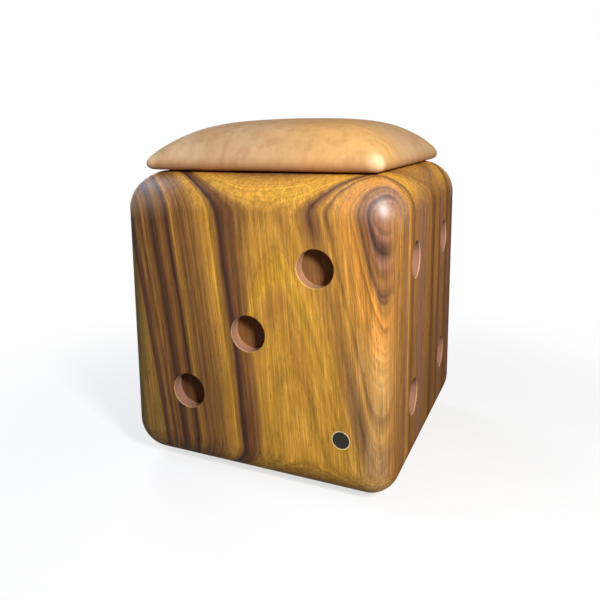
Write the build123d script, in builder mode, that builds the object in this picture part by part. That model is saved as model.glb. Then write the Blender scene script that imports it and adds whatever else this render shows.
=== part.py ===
# Cube ottoman: a block of solid timber, rounded on every edge and bored with pips like a
# dice, hollowed from above into a storage well, and closed by a leather seat that lifts off.
#
# Lengths are in millimetres. +Z is up and the origin is the centre of the footprint on the
# floor. The face with three pips looks along -Y, and the face with four looks along +X.

import os
from math import cos, radians, sin

from build123d import *

# Timber block
side = 400.0
block_height = 425.0
edge_radius = 52.0
corner_radius = 36.0
well_wall = 64.0
well_floor = 60.0
well_corner_radius = 32.0
mouth_ease = 2.0

# Pips, bored with a flat-bottomed cutter
pip_diameter = 50.0
pip_depth = 20.0
pip_pitch = 96.0
pip_ease = 1.5
pip_layout_shares = {
    "right": ((-1, 1), (1, 1), (-1, -1), (1, -1)),
    "back": ((-1, 1), (1, 1), (0, 0), (-1, -1), (1, -1)),
    "left": ((-1, 1), (1, -1)),
    "front": ((1, 1), (0, 0), (-1, -1)),
}

# Round inlay low on the front face
medallion_diameter = 25.6
medallion_thickness = 4.0
medallion_ring_width = 1.6
medallion_recess = 0.4
medallion_from_side = 69.0
medallion_from_bottom = 87.0
inlay_clearance = 0.05

# Floor glides
glide_diameter = 32.0
glide_thickness = 3.0
glide_ease = 1.0
glide_inset = 70.0
glide_head_recess = 1.2

# Countersunk wood screws
screw_head_diameter = 7.6
screw_head_height = 2.4
screw_shank_diameter = 3.8
screw_tip_height = 3.0
screw_hole_clearance = 0.1
drive_width = 0.9
drive_length = 4.2
drive_depth = 1.4
glide_screw_length = 22.0

# Seat, outside of the leather. Its side rolls out from the foot, leans back through the
# shoulder and closes with a shallow crown, three tangent arcs that turn through these angles
seat_setback = 26.5
seat_height = 69.5
seat_corner_radius = 14.0
roll_radius = 9.0
roll_turn = 39.0
shoulder_turn = 47.0
felt_thickness = 1.5

# Seat layers
leather_thickness = 1.5
wrap_thickness = 6.0
soft_clearance = 0.3
board_thickness = 12.0
board_margin = 1.0
board_corner_radius = 6.0
vent_diameter = 14.0
vent_circle_diameter = 150.0
vent_count = 4
dust_cover_thickness = 0.5

# Locating battens under the board
batten_width = 18.0
batten_height = 22.0
batten_clearance = 2.0
batten_lead = 3.0
batten_screw_inset = 35.0
batten_screw_length = 30.0

# Staples that hold the leather's turned-in hem
staple_crown = 10.0
staple_wire = 0.7
staple_leg = 7.0
staple_inset = 4.0
staple_from_corner = 28.0
staples_per_side = 6

# Felt strips under the hem
felt_width = 7.0
felt_from_staples = 2.7

# One overrun carries every cut clear of the faces that it passes
overrun = 5.0

# Places that follow from the sizes above
half_side = side / 2
block_top = glide_thickness + block_height
block_middle = glide_thickness + block_height / 2
well_half = half_side - well_wall
well_depth = block_height - well_floor
seat_half = half_side - seat_setback
foot_half = seat_half - roll_radius
hem_bottom = block_top + felt_thickness
board_bottom = hem_bottom + leather_thickness
board_top = board_bottom + board_thickness
board_half = foot_half - leather_thickness - board_margin
batten_top = board_bottom - dust_cover_thickness
batten_outer = well_half - batten_clearance
batten_length = 2 * (well_half - well_corner_radius)
hem_inner = batten_outer + soft_clearance
staple_line = hem_inner + staple_inset
staple_pitch = 2 * (staple_line - staple_from_corner) / (staples_per_side - 1)
felt_inner = staple_line + felt_from_staples
felt_outer = felt_inner + felt_width
glide_place = half_side - glide_inset
wrap_inset = leather_thickness + soft_clearance
foam_inset = wrap_inset + wrap_thickness + soft_clearance

side_angles = {"right": 0, "back": 90, "left": 180, "front": 270}

os.makedirs("parts", exist_ok=True)


def save(builder, name):
    """Label a finished piece and write its STEP file."""
    builder.part.label = name
    export_step(builder.part, f"parts/{name}.step")


def face_plane(name):
    """The plane on one upright face of the block, looking outwards, with its Y upwards."""
    outward = Vector(1, 0, 0).rotate(Axis.Z, side_angles[name])
    along = Vector(0, 1, 0).rotate(Axis.Z, side_angles[name])
    centre = outward * half_side + Vector(0, 0, block_middle)
    return Plane(origin=centre, x_dir=along, z_dir=outward)


def side_plane(name, height):
    """A level plane whose X points out through one upright face."""
    return Plane.XY.offset(height).rotated((0, 0, side_angles[name]))


def wood_screw(length, clearance=0.0, mode=Mode.ADD):
    """A countersunk screw from its head's face at the current place, pointing up.

    With a clearance and Mode.SUBTRACT it cuts the hole for the same screw.
    """
    head_radius = screw_head_diameter / 2 + clearance
    shank_radius = screw_shank_diameter / 2 + clearance
    upward = (Align.CENTER, Align.CENTER, Align.MIN)
    straight = length - screw_tip_height
    Cone(head_radius, shank_radius, screw_head_height, align=upward, mode=mode)
    Cylinder(shank_radius, straight, align=upward, mode=mode)
    with Locations((0, 0, straight)):
        Cone(shank_radius, clearance, screw_tip_height + clearance, align=upward, mode=mode)


def cross_drive():
    """Cut the cross recess into a screw's head at the current place."""
    upward = (Align.CENTER, Align.CENTER, Align.MIN)
    Box(drive_length, drive_width, drive_depth, align=upward, mode=Mode.SUBTRACT)
    Box(drive_width, drive_length, drive_depth, align=upward, mode=Mode.SUBTRACT)


def arch_radii():
    """Radii of the shoulder and crown arcs that carry the seat's side up to its middle."""
    first, second = radians(roll_turn), radians(roll_turn + shoulder_turn)
    across = seat_half - roll_radius * (1 - cos(first))
    upward = seat_height - roll_radius * (1 + sin(first))
    shoulder_rise = sin(second) - sin(first)
    crown_rise = 1 - sin(second)
    shoulder_run = cos(first) - cos(second)
    crown_run = cos(second)
    share = shoulder_run * crown_rise - shoulder_rise * crown_run
    shoulder = (across * crown_rise - upward * crown_run) / share
    crown = (upward * shoulder_run - across * shoulder_rise) / share
    return shoulder, crown


def arch_outline(plane, inset):
    """The seat's arched section on an upright plane, every arc drawn in by the inset."""
    shoulder_radius, crown_radius = arch_radii()
    start = (foot_half, hem_bottom + inset)
    with BuildSketch(plane) as section:
        with BuildLine():
            foot = Line((0, hem_bottom + inset), start)
            roll = JernArc(foot @ 1, (1, 0), roll_radius - inset, 90 + roll_turn)
            shoulder = JernArc(roll @ 1, roll % 1, shoulder_radius - inset, shoulder_turn)
            JernArc(shoulder @ 1, shoulder % 1, crown_radius - inset,
                    90 - roll_turn - shoulder_turn)
            mirror(about=Plane.YZ)
        make_face()
    return section.sketch


def crowned_pad(inset):
    """The seat's form, where two crossed arches meet in soft ridges over the corners."""
    reach = seat_half + overrun
    corner = seat_corner_radius - inset
    with BuildPart() as pad:
        extrude(arch_outline(Plane.XZ, inset), amount=reach, both=True)
        extrude(arch_outline(Plane.YZ, inset), amount=reach, both=True, mode=Mode.INTERSECT)
        with BuildSketch(Plane.XY.offset(hem_bottom)):
            RectangleRounded(2 * (seat_half - inset), 2 * (seat_half - inset), corner)
        extrude(amount=seat_height + overrun, mode=Mode.INTERSECT)
    return pad.part


def staple_middles():
    """Distances along one side at which its staples stand, counted from the side's middle."""
    first = -(staples_per_side - 1) / 2
    return [(first + index) * staple_pitch for index in range(staples_per_side)]


def staple_legs(mode=Mode.ADD):
    """Both legs of every staple, from the hem's underside up into the board."""
    reach = (staple_crown - staple_wire) / 2
    with Locations((0, 0, hem_bottom)):
        with PolarLocations(staple_line, len(side_angles)):
            for middle in staple_middles():
                with Locations((0, middle - reach), (0, middle + reach)):
                    Box(staple_wire, staple_wire, staple_leg,
                        align=(Align.CENTER, Align.CENTER, Align.MIN), mode=mode)


def batten_screw_places(*sides):
    """Where the screws of these sides' battens start, on the battens' undersides."""
    middle = batten_outer - batten_width / 2
    along = batten_length / 2 - batten_screw_inset
    underside = batten_top - batten_height
    return [
        side_plane(name, underside).location * Location((middle, end * along, 0))
        for name in sides
        for end in (-1, 1)
    ]


# The seat's form at the depth of each layer
leather_outside = crowned_pad(0)
leather_inside = crowned_pad(leather_thickness)
wrap_outside = crowned_pad(wrap_inset)
wrap_inside = crowned_pad(foam_inset - soft_clearance)
foam_outside = crowned_pad(foam_inset)

# Block with its well, pips, inlay socket and pilot holes. Its level edges are rounded first,
# so that the tighter rounding of the upright corners fades out over them
with BuildPart() as cube_block:
    with Locations((0, 0, block_middle)):
        Box(side, side, block_height)
    level_edges = cube_block.edges().filter_by(Axis.Z, reverse=True)
    fillet(level_edges, edge_radius)
    upright_edges = cube_block.edges().filter_by(Axis.Z)
    fillet(upright_edges, corner_radius)
    with BuildSketch(Plane.XY.offset(block_top)):
        RectangleRounded(2 * well_half, 2 * well_half, well_corner_radius)
    extrude(amount=-well_depth, mode=Mode.SUBTRACT)
    mouth = cube_block.edges(Select.LAST).group_by(Axis.Z)[-1]
    fillet(mouth, mouth_ease)
    for face_name, layout_shares in pip_layout_shares.items():
        face = face_plane(face_name)
        places = [(across * pip_pitch, up * pip_pitch) for across, up in layout_shares]
        with Locations(face):
            with Locations(*places):
                Hole(pip_diameter / 2, pip_depth)
        outward = Axis(face.origin, face.z_dir)
        rims = cube_block.edges(Select.LAST).filter_by(GeomType.CIRCLE).group_by(outward)[-1]
        fillet(rims, pip_ease)
    medallion_place = (
        half_side - medallion_from_side,
        medallion_from_bottom - block_height / 2,
    )
    with Locations(face_plane("front")):
        with Locations(medallion_place):
            Hole(medallion_diameter / 2 + inlay_clearance, medallion_thickness)
    with Locations((0, 0, glide_head_recess)):
        with GridLocations(2 * glide_place, 2 * glide_place, 2, 2):
            wood_screw(glide_screw_length, screw_hole_clearance, Mode.SUBTRACT)
save(cube_block, "cube_block")

# Round inlay: a pale ring with a plain dark disc inside it
inlay_floor = face_plane("front").offset(-medallion_thickness)
with BuildPart() as medallion_ring:
    with BuildSketch(inlay_floor):
        with Locations(medallion_place):
            Circle(medallion_diameter / 2)
            Circle(medallion_diameter / 2 - medallion_ring_width, mode=Mode.SUBTRACT)
    extrude(amount=medallion_thickness)
save(medallion_ring, "medallion_ring")

with BuildPart() as medallion_disc:
    with BuildSketch(inlay_floor):
        with Locations(medallion_place):
            Circle(medallion_diameter / 2 - medallion_ring_width - inlay_clearance)
    extrude(amount=medallion_thickness - medallion_recess)
save(medallion_disc, "medallion_disc")

# Floor glides, one under each corner of the flat base
for depth_name, depth_sign in (("front", -1), ("back", 1)):
    for width_name, width_sign in (("left", -1), ("right", 1)):
        with BuildPart() as floor_glide:
            with Locations((width_sign * glide_place, depth_sign * glide_place, 0)):
                Cylinder(glide_diameter / 2, glide_thickness,
                         align=(Align.CENTER, Align.CENTER, Align.MIN))
                Cylinder(screw_head_diameter / 2 + screw_hole_clearance, glide_head_recess,
                         align=(Align.CENTER, Align.CENTER, Align.MIN), mode=Mode.SUBTRACT)
                with Locations((0, 0, glide_head_recess)):
                    wood_screw(glide_screw_length, screw_hole_clearance, Mode.SUBTRACT)
            sole = floor_glide.edges().group_by(Axis.Z)[0].sort_by(SortBy.RADIUS)[-1]
            fillet(sole, glide_ease)
        save(floor_glide, f"floor_glide_{depth_name}_{width_name}")

with BuildPart() as glide_screws:
    with Locations((0, 0, glide_head_recess)):
        with GridLocations(2 * glide_place, 2 * glide_place, 2, 2):
            wood_screw(glide_screw_length)
            cross_drive()
save(glide_screws, "glide_screws")

# Seat board, with vents that let the foam breathe
with BuildPart() as seat_board:
    with BuildSketch(Plane.XY.offset(board_bottom)):
        RectangleRounded(2 * board_half, 2 * board_half, board_corner_radius)
        with PolarLocations(vent_circle_diameter / 2, vent_count):
            Circle(vent_diameter / 2, mode=Mode.SUBTRACT)
    extrude(amount=board_thickness)
    staple_legs(Mode.SUBTRACT)
    with Locations(*batten_screw_places(*side_angles)):
        wood_screw(batten_screw_length, screw_hole_clearance, Mode.SUBTRACT)
save(seat_board, "seat_board")

# Foam core, flat on the board and crowned above
with BuildPart() as seat_foam:
    add(foam_outside)
    split(bisect_by=Plane.XY.offset(board_top), keep=Keep.TOP)
save(seat_foam, "seat_foam")

# Batting wrapped over the foam and down round the board's edge
with BuildPart() as foam_wrap:
    add(wrap_outside)
    add(wrap_inside, mode=Mode.SUBTRACT)
    with BuildSketch(Plane.XY.offset(board_top)):
        RectangleRounded(2 * (board_half + soft_clearance), 2 * (board_half + soft_clearance),
                         board_corner_radius)
    extrude(amount=-(board_thickness + overrun), mode=Mode.SUBTRACT)
save(foam_wrap, "foam_wrap")

# Leather pulled over the pad, turned in under the board and stapled
with BuildPart() as leather_cover:
    add(leather_outside)
    add(leather_inside, mode=Mode.SUBTRACT)
    with BuildSketch(Plane.XY.offset(hem_bottom)):
        RectangleRounded(2 * hem_inner, 2 * hem_inner, board_corner_radius)
    extrude(amount=leather_thickness + overrun, both=True, mode=Mode.SUBTRACT)
    staple_legs(Mode.SUBTRACT)
save(leather_cover, "leather_cover")

# Black cloth under the board, held down by the battens
with BuildPart() as dust_cover:
    with BuildSketch(Plane.XY.offset(batten_top)):
        RectangleRounded(2 * batten_outer, 2 * batten_outer, board_corner_radius)
    extrude(amount=dust_cover_thickness)
    with Locations(*batten_screw_places(*side_angles)):
        wood_screw(batten_screw_length, screw_hole_clearance, Mode.SUBTRACT)
save(dust_cover, "dust_cover")

with BuildPart() as cover_staples:
    staple_legs()
    with Locations((0, 0, hem_bottom)):
        with PolarLocations(staple_line, len(side_angles)):
            with Locations(*[(0, middle) for middle in staple_middles()]):
                Box(staple_wire, staple_crown, staple_wire,
                    align=(Align.CENTER, Align.CENTER, Align.MAX))
save(cover_staples, "cover_staples")

# Battens that drop into the mouth of the well and keep the seat centred
for side_name in side_angles:
    with BuildPart() as batten:
        with Locations(side_plane(side_name, batten_top)):
            with Locations((batten_outer - batten_width / 2, 0)):
                Box(batten_width, batten_length, batten_height,
                    align=(Align.CENTER, Align.CENTER, Align.MAX))
        chamfer(batten.edges().group_by(Axis.Z)[0], batten_lead)
        with Locations(*batten_screw_places(side_name)):
            wood_screw(batten_screw_length, screw_hole_clearance, Mode.SUBTRACT)
    save(batten, f"batten_{side_name}")

with BuildPart() as batten_screws:
    with Locations(*batten_screw_places(*side_angles)):
        wood_screw(batten_screw_length)
        cross_drive()
save(batten_screws, "batten_screws")

# Felt strips on which the seat rests, the dark line between leather and timber
for side_name in side_angles:
    reach = felt_outer if side_name in ("front", "back") else felt_inner
    with BuildPart() as felt_strip:
        with Locations(side_plane(side_name, block_top)):
            with Locations(((felt_inner + felt_outer) / 2, 0)):
                Box(felt_width, 2 * reach, felt_thickness,
                    align=(Align.CENTER, Align.CENTER, Align.MIN))
    save(felt_strip, f"felt_strip_{side_name}")
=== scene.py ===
import math

import bmesh
import bpy
from bpy.props import FloatProperty, FloatVectorProperty, PointerProperty
from mathutils import Euler, Matrix, Vector, noise


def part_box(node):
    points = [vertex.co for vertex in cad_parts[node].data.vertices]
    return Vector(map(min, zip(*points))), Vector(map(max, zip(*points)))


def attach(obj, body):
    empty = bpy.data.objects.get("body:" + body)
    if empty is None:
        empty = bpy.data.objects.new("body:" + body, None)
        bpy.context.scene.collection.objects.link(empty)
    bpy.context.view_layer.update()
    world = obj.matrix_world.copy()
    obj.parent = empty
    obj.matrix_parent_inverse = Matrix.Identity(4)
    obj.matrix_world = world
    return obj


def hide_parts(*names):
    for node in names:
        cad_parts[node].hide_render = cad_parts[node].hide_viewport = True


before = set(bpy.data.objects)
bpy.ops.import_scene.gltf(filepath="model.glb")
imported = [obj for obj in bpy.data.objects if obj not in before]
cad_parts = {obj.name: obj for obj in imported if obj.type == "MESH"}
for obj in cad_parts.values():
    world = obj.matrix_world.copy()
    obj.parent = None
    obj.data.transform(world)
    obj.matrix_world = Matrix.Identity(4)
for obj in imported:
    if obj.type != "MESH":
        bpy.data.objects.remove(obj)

bl_info = {
    "name": "Cube Ottoman",
    "version": (1, 0, 0),
    "blender": (4, 5, 0),
    "location": "View3D > Sidebar > Ottoman",
    "description": "Finishes the timber cube and builds its upholstered seat",
    "category": "Add Mesh",
}

MM = 0.001
SIDES = ("front", "right", "back", "left")


def display(red, green, blue):
    """The linear colour of the 0 to 255 values that a screen shows."""
    def linear(value):
        share = value / 255
        return share / 12.92 if share <= 0.04045 else ((share + 0.055) / 1.055) ** 2.4
    return (linear(red), linear(green), linear(blue))


def shaded(colour, share):
    """A colour made darker or paler by a share."""
    return tuple(share * part for part in colour)


def colour_property(name, description, value):
    """A colour that the user may change, given as a screen shows it."""
    return FloatVectorProperty(name=name, description=description, subtype="COLOR", size=3,
                               min=0, max=1, default=display(*value))


def length_property(name, description, value):
    """A length that the user may change, in metres."""
    return FloatProperty(name=name, description=description, default=value, min=0,
                         subtype="DISTANCE", unit="LENGTH", precision=4)


def share_property(name, description, value, largest=1.0):
    """A plain number from nought up that the user may change."""
    return FloatProperty(name=name, description=description, default=value, min=0, max=largest)


def angle_property(name, description, value):
    """An angle that the user may change, in radians."""
    return FloatProperty(name=name, description=description, default=value, subtype="ANGLE")


def power_property(name, description, value):
    """The power of a lamp, in watts."""
    return FloatProperty(name=name, description=description, default=value, unit="POWER")


def place_property(name, description, value):
    """A place that the user may change."""
    return FloatVectorProperty(name=name, description=description, default=value, size=3,
                               subtype="TRANSLATION", unit="LENGTH")


# Settings

class OttomanTimber(bpy.types.PropertyGroup):
    """Colours and log of the block."""
    golden: colour_property("Golden", "Clear heartwood between the first stripes", (214, 158, 62))
    honey: colour_property("Honey", "Slightly deeper heartwood", (198, 143, 64))
    amber: colour_property("Amber", "Warm, mottled heartwood near the right corner", (206, 140, 62))
    tan: colour_property("Tan", "Brownish wood between stripes", (158, 111, 58))
    brown: colour_property("Brown", "Soft brown stripes", (122, 80, 46))
    umber: colour_property("Umber", "Wide purple-brown stripe", (92, 58, 48))
    dark: colour_property("Dark", "Narrow, nearly black stripes", (66, 42, 32))
    rose: colour_property("Rose", "Pinkish brown beside the dark stripes", (148, 104, 80))
    olive: colour_property("Olive", "Greenish gold outside the last stripe", (160, 122, 62))
    flame: colour_property("Flame", "Yellow arch in the middle of the front", (214, 164, 54))
    # Painted sheen: a pale haze low on the near vertical edge that stands in for the light's sheen
    # there.
    flame_core: colour_property("Flame core", "Browner wood inside the arch", (180, 124, 62))
    painted_sheen: colour_property("Haze", "Paler wood low on the near corner", (222, 178, 116))
    pore: colour_property("Pore", "Open pores", (58, 36, 22))
    # Bored and Bored wall: the cut wood's browner tone inside the pips, darkened further as painted
    # shade, deepest on the floors.
    bored: colour_property("Bored", "Oil-darkened floors of the pips", (110, 74, 56))
    bored_wall: colour_property("Bored wall", "Pinkish walls of the pips", (158, 118, 100))
    # Rim: a painted highlight, a pale line along the softened rims of the pips.
    rim: colour_property("Rim", "Pale softened rims of the pips", (224, 184, 128))
    pith_place: place_property("Pith", "A point on the middle line of the log", (0.034, 0.0, 0.338))
    pith_lean: FloatVectorProperty(name="Lean", description="How the log's middle line leans",
                                   default=(-0.03, -0.1747, 0.0), size=3, subtype="EULER")
    wander: length_property("Wander", "How far the rings stray from round", 9 * MM)
    roughness: share_property("Roughness", "Satin of the hard wax oil", 0.42)
    varnish: share_property("Varnish", "How much the faces shine", 0.17)
    polish: share_property("Polish", "How much the handled corners shine", 1.0)


class OttomanSeat(bpy.types.PropertyGroup):
    """Form and finish of the upholstery."""
    leather: colour_property("Leather", "Smooth camel leather", (198, 160, 119))
    # Deep leather: darker streaks of the hide, and the painted shade on the crown, at the hem and
    # along a fold.
    leather_deep_and_shade: colour_property("Deep leather", "Where it is handled and folded", (166, 116, 72))
    leather_pale: colour_property("Pale leather", "Where it is stretched", (211, 178, 142))
    # Worn leather: a painted highlight on the pad's corners.
    painted_corner_highlight: colour_property("Worn leather", "Where it is pulled over corners", (244, 216, 172))
    # Gold leather: yellower, paler leather towards the near corner.
    leather_gold: colour_property("Gold leather", "Yellower dye towards one corner", (214, 165, 96))
    foam: colour_property("Foam", "Cream polyurethane foam", (232, 220, 186))
    batting: colour_property("Batting", "White polyester batting", (238, 238, 232))
    roll: length_property("Roll", "Radius of the pad's lower edge", 9 * MM)
    roll_turn: angle_property("Roll turn", "How far the side leans back", math.radians(39))
    shoulder_turn: angle_property("Shoulder turn", "Turn of the arc from side to crown",
                                  math.radians(47))
    corner: length_property("Corner", "Corner radius at the pad's lower edge", 5 * MM)
    corner_growth: share_property("Corner growth", "How fast corners round towards the crown", 0.75)
    leather_thickness: length_property("Leather thickness", "Thickness of the hide", 1.5 * MM)
    batting_thickness: length_property("Batting thickness", "Thickness of the batting", 6 * MM)
    clearance: length_property("Clearance", "Room between soft layers", 0.3 * MM)
    mesh_step: length_property("Mesh step", "Distance between rows of the soft meshes", 5 * MM)
    pressure: share_property("Pressure", "How hard the foam pushes out the leather", 4.0, 20)
    swell: length_property("Swell", "Furthest that the pressed leather may move", 4.5 * MM)


class OttomanHardware(bpy.types.PropertyGroup):
    """Screws, staples and small fittings."""
    screw_head: length_property("Screw head", "Diameter of a screw's head", 7.6 * MM)
    screw_head_height: length_property("Head height", "Height of the countersink", 2.4 * MM)
    screw_shank: length_property("Shank", "Diameter of a screw's core", 3.0 * MM)
    thread_diameter: length_property("Thread", "Diameter over the thread", 3.8 * MM)
    thread_pitch: length_property("Thread pitch", "Rise of the thread in one turn", 1.8 * MM)
    staple_crown: length_property("Staple crown", "Length of a staple's crown", 10 * MM)
    staple_leg: length_property("Staple leg", "Length of a staple's legs", 7 * MM)
    staple_wire: length_property("Staple wire", "Thickness of a staple's wire", 0.7 * MM)
    brass: colour_property("Brass", "Pale brass of the inlay's ring", (226, 198, 146))
    disc: colour_property("Disc", "Dark disc of the inlay", (32, 27, 25))
    steel: colour_property("Steel", "Zinc-plated screws and staples", (188, 190, 192))
    nylon: colour_property("Nylon", "Brown floor glides", (62, 46, 36))
    felt: colour_property("Felt", "Black wool felt", (26, 24, 23))
    cloth: colour_property("Dust cloth", "Black spunbonded cloth", (30, 30, 32))
    plywood: colour_property("Plywood", "Birch plywood", (222, 190, 142))
    beech: colour_property("Beech", "Steamed beech battens", (206, 158, 112))


class OttomanStage(bpy.types.PropertyGroup):
    """Camera, floor and lights."""
    camera_place: place_property("Camera", "Where the camera stands", (0.3798, -0.9220, 0.4871))
    camera_yaw: angle_property("Yaw", "Turn of the camera to the left", 0.4436)
    camera_pitch: angle_property("Pitch", "Tilt of the camera upwards", -0.1729)
    camera_roll: angle_property("Roll", "Roll of the camera", -0.0173)
    lens: FloatProperty(name="Lens", description="Focal length on a 36 mm sensor",
                        default=38.27, min=1, unit="CAMERA")
    shift_x: FloatProperty(name="Shift X", description="Sideways shift of the picture",
                           default=0.0489)
    shift_y: FloatProperty(name="Shift Y", description="Upward shift of the picture",
                           default=-0.1031)
    floor: colour_property("Floor", "Pale studio floor", (246, 248, 252))
    key_power: power_property("Key", "Small main lamp on the right", 20.5)
    fill_power: power_property("Fill", "Soft lamp on the left", 2.6)
    edge_power: power_property("Edge", "Cool lamp above on the left", 5.5)
    back_power: power_property("Back", "Soft lamp for the hidden sides", 27.0)
    sky: share_property("Sky", "Level of the light from all round", 0.04, 4.0)


# Node trees

FLOAT = "NodeSocketFloat"
VECTOR = "NodeSocketVector"
GEOMETRY = "NodeSocketGeometry"
MATERIAL = "NodeSocketMaterial"


def socket_name(word):
    """A socket's name from the word that stands for it in the script."""
    return word.replace("_", " ").title().replace("Ior", "IOR")


class Signal:
    """What comes out of a node. Sums and products of signals add the nodes that they need."""

    def __init__(self, tree, socket):
        self.tree = tree
        self.socket = socket

    def __add__(self, other):
        return self.tree.reckon("ADD", self, other)

    def __sub__(self, other):
        return self.tree.reckon("SUBTRACT", self, other)

    def __rsub__(self, other):
        return self.tree.reckon("SUBTRACT", other, self)

    def __mul__(self, other):
        return self.tree.reckon("MULTIPLY", self, other)

    def __truediv__(self, other):
        return self.tree.reckon("DIVIDE", self, other)

    def __abs__(self):
        return self.tree.reckon("ABSOLUTE", self)

    def length(self):
        return self.tree.reckon("LENGTH", self)

    def least(self, other):
        return self.tree.reckon("MINIMUM", self, other)

    def most(self, other):
        return self.tree.reckon("MAXIMUM", self, other)

    def above(self, level):
        """One above a level and nought below it."""
        return self.tree.reckon("GREATER_THAN", self, level)

    def parts(self):
        """The X, Y and Z of a place."""
        outputs = self.tree.node("ShaderNodeSeparateXYZ", {"Vector": self}).outputs
        return [Signal(self.tree, socket) for socket in outputs]

    def fit(self, low, high, to_low=0.0, to_high=1.0, smooth=True):
        """Carry a number from one range to another, and hold it at the range's ends."""
        return self.tree.add(
            "ShaderNodeMapRange",
            {"Value": self, "From Min": low, "From Max": high, "To Min": to_low,
             "To Max": to_high},
            out="Result", interpolation_type="SMOOTHSTEP" if smooth else "LINEAR")


class Tree:
    """Writes one node tree: adds nodes, sets their sockets and joins them."""

    def __init__(self, tree):
        self.tree = tree

    def put(self, socket, value):
        """Set a socket, or join a signal to it."""
        if isinstance(value, Signal):
            self.tree.links.new(value.socket, socket)
        elif socket.type == "RGBA" and len(value) == 3:
            socket.default_value = (*value, 1.0)
        else:
            socket.default_value = value

    def node(self, kind, sockets=None, **settings):
        """A new node with its settings and sockets."""
        node = self.tree.nodes.new(kind)
        for name, value in settings.items():
            setattr(node, name, value)
        for name, value in (sockets or {}).items():
            self.put(node.inputs[name], value)
        return node

    def add(self, kind, sockets=None, out=0, **settings):
        """One output of a new node."""
        return Signal(self, self.node(kind, sockets, **settings).outputs[out])

    def reckon(self, operation, *values):
        """A sum of numbers, or of vectors where one of the values is a vector."""
        kinds = [value.socket.type for value in values if isinstance(value, Signal)]
        kind = "ShaderNodeVectorMath" if "VECTOR" in kinds else "ShaderNodeMath"
        return self.add(kind, dict(enumerate(values)), operation=operation,
                        out="Value" if operation == "LENGTH" else 0)

    def noise(self, value, scale, detail=2.0, roughness=0.5, distortion=0.0):
        """Cloudy noise from nought to one, at a place or along one number."""
        solid = value.socket.type == "VECTOR"
        return self.add(
            "ShaderNodeTexNoise",
            {"Vector" if solid else "W": value, "Scale": scale, "Detail": detail,
             "Roughness": roughness, "Distortion": distortion},
            out="Fac", noise_dimensions="3D" if solid else "1D")

    def blend(self, share, first, second):
        """Blend two colours by a share."""
        return self.add("ShaderNodeMix", {0: share, 6: first, 7: second}, out=2, data_type="RGBA")

    def toned(self, colour, tone):
        """A colour with its brightness multiplied by a tone."""
        return self.add("ShaderNodeVectorMath", {0: colour, "Scale": tone}, operation="SCALE")

    def ramp(self, value, stops):
        """A colour ramp from stops of place and colour."""
        node = self.node("ShaderNodeValToRGB", {"Fac": value})
        elements = node.color_ramp.elements
        while len(elements) > 1:
            elements.remove(elements[-1])
        for index, (place, colour) in enumerate(stops):
            element = elements[0] if index == 0 else elements.new(place)
            element.position = place
            element.color = (*colour, 1.0)
        return Signal(self, node.outputs["Color"])

    def relief(self, height, distance, strength=1.0):
        """A bump whose height runs from nought to one over a real distance."""
        return self.add("ShaderNodeBump", {"Height": height, "Distance": distance,
                                           "Strength": strength}, out="Normal")

    def use(self, group, **sockets):
        """The outputs of one of the shared groups, by name."""
        values = {socket_name(word): value for word, value in sockets.items()}
        node = self.node("ShaderNodeGroup", values, node_tree=bpy.data.node_groups[group])
        return {socket.name: Signal(self, socket) for socket in node.outputs}

    def seen(self):
        """One where the camera, a mirror or glass looks, and nought for light that bounces."""
        paths = self.node("ShaderNodeLightPath").outputs
        camera, glossy, through = [Signal(self, paths[f"Is {kind} Ray"])
                                   for kind in ("Camera", "Glossy", "Transmission")]
        return camera.most(glossy.most(through))


class Group(Tree):
    """A new node group. An input is given as its type, or as the default of a number."""

    def __init__(self, name, kind, **inputs):
        super().__init__(bpy.data.node_groups.new(name, kind))
        for word, value in inputs.items():
            typed = isinstance(value, str)
            socket = self.tree.interface.new_socket(name=socket_name(word), in_out="INPUT",
                                                    socket_type=value if typed else FLOAT)
            if not typed:
                socket.default_value = value
        outputs = self.node("NodeGroupInput").outputs
        self.given = [Signal(self, outputs[socket_name(word)]) for word in inputs]

    def give(self, kind, **outputs):
        """Make the group's outputs, all of one type."""
        for word in outputs:
            self.tree.interface.new_socket(name=socket_name(word), in_out="OUTPUT",
                                           socket_type=kind)
        node = self.node("NodeGroupOutput")
        for word, value in outputs.items():
            self.put(node.inputs[socket_name(word)], value)
        return self.tree


class Finish(Tree):
    """A new material, written from its Principled shader and its object coordinates."""

    def __init__(self, name, **sockets):
        self.material = bpy.data.materials.new(name)
        self.material.use_nodes = True
        super().__init__(self.material.node_tree)
        self.shader = self.tree.nodes["Principled BSDF"]
        self.place = self.add("ShaderNodeTexCoord", out="Object")
        self.set(**sockets)

    def set(self, **sockets):
        """Set sockets of the shader, and return the material."""
        for word, value in sockets.items():
            self.put(self.shader.inputs[socket_name(word)], value)
        return self.material

    def log(self, middle, lean):
        """The place in a log's own frame, whose Z axis is the log's middle line."""
        return self.add("ShaderNodeMapping", {"Vector": self.place, "Location": middle,
                                              "Rotation": lean}, vector_type="TEXTURE")

    def cells(self, scale, feature="F1", **sockets):
        """The distance from the middles of scattered cells, or from their borders."""
        return self.add("ShaderNodeTexVoronoi", {"Vector": self.place, "Scale": scale, **sockets},
                        out="Distance", feature=feature)


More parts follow.
